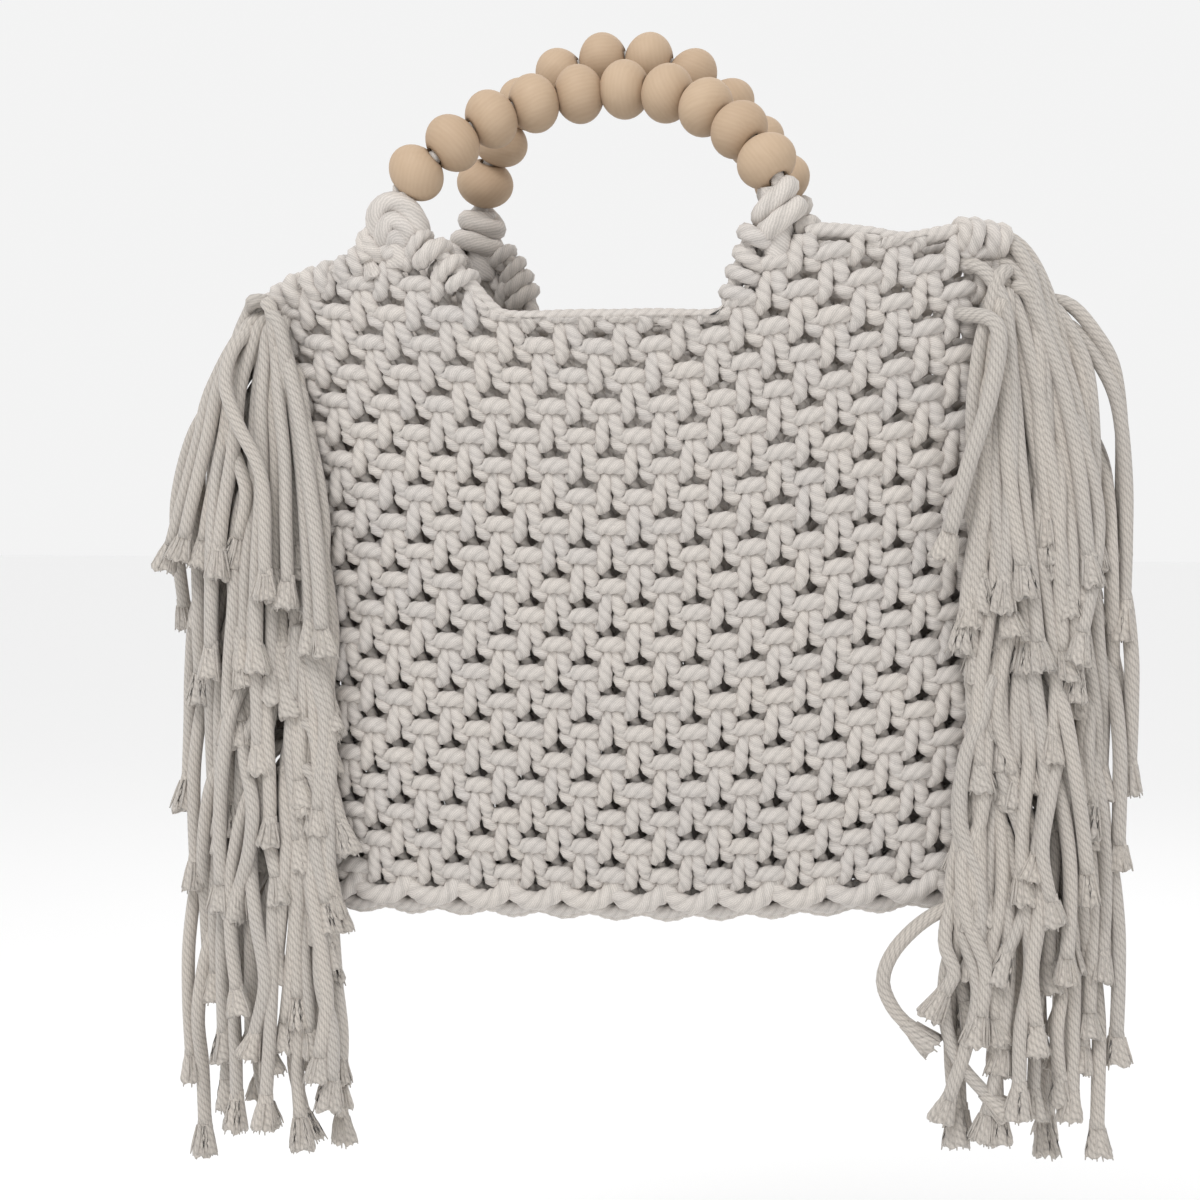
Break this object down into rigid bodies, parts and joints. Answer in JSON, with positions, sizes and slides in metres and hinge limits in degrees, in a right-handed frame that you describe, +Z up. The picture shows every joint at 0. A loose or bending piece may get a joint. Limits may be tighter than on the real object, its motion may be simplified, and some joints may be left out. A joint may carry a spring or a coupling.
{
  "type": "knotted cord tote bag",
  "caption": "Open-topped tote bag of knotted cotton cord with wooden bead handles and a long fringe down each side, hanging by its handles.",
  "frame": {"origin": "the hanging point under the middle of the bead handles, where both strings rest on what holds the bag up", "axes": "+Z up, the way it hangs; the front of the bag faces -Y; +X is to the right as one looks at the front"},
  "size_m": [0.4242, 0.0837, 0.4876],
  "materials": {
    "knotted_cord": "matt twisted cotton",
    "fringe_cord": "matt loose cotton",
    "raw_wood": "bare sanded"
  },
  "bodies": {
    "root": {"front_panel": "knotted_cord", "back_panel": "knotted_cord", "bottom_binding": "knotted_cord", "front_mouth_rim": "knotted_cord", "front_left_shoulder_rim": "knotted_cord", "front_right_shoulder_rim": "knotted_cord", "front_left_base_knot": "knotted_cord", "front_right_base_knot": "knotted_cord", "front_handle_cord": "knotted_cord", "front_handle_bead_01": "raw_wood", "front_handle_bead_02": "raw_wood", "front_handle_bead_03": "raw_wood", "front_handle_bead_04": "raw_wood", "front_handle_bead_05": "raw_wood", "front_handle_bead_06": "raw_wood", "front_handle_bead_07": "raw_wood", "front_handle_bead_08": "raw_wood", "front_handle_bead_09": "raw_wood", "front_handle_bead_10": "raw_wood", "back_mouth_rim": "knotted_cord", "back_left_shoulder_rim": "knotted_cord", "back_right_shoulder_rim": "knotted_cord", "back_left_base_knot": "knotted_cord", "back_right_base_knot": "knotted_cord", "back_handle_cord": "knotted_cord", "back_handle_bead_01": "raw_wood", "back_handle_bead_02": "raw_wood", "back_handle_bead_03": "raw_wood", "back_handle_bead_04": "raw_wood", "back_handle_bead_05": "raw_wood", "back_handle_bead_06": "raw_wood", "back_handle_bead_07": "raw_wood", "back_handle_bead_08": "raw_wood", "back_handle_bead_09": "raw_wood", "back_handle_bead_10": "raw_wood", "left_fringe": "fringe_cord", "right_fringe": "fringe_cord"}
  },
  "joints": []
}
